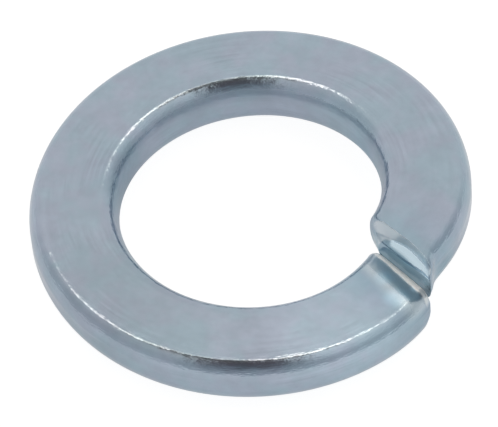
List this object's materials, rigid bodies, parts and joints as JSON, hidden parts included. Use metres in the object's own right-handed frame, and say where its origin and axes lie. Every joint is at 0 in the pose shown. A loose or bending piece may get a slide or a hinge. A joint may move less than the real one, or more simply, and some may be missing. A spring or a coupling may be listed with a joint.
{
  "type": "spring lock washer",
  "caption": "Split helical spring lock washer of rounded rectangular wire, with offset sheared ends and a round bore.",
  "frame": {"origin": "on the bore axis, at the height of the washer's lowest point", "axes": "+Z along the bore axis, towards the raised end; +X from the axis through the middle of the cut"},
  "size_m": [0.0205, 0.0204, 0.0044],
  "materials": {
    "zinc_plated_steel": "bright blue-grey zinc plating with a satin sheen"
  },
  "bodies": {
    "root": {"lock_washer": "zinc_plated_steel"}
  },
  "joints": []
}
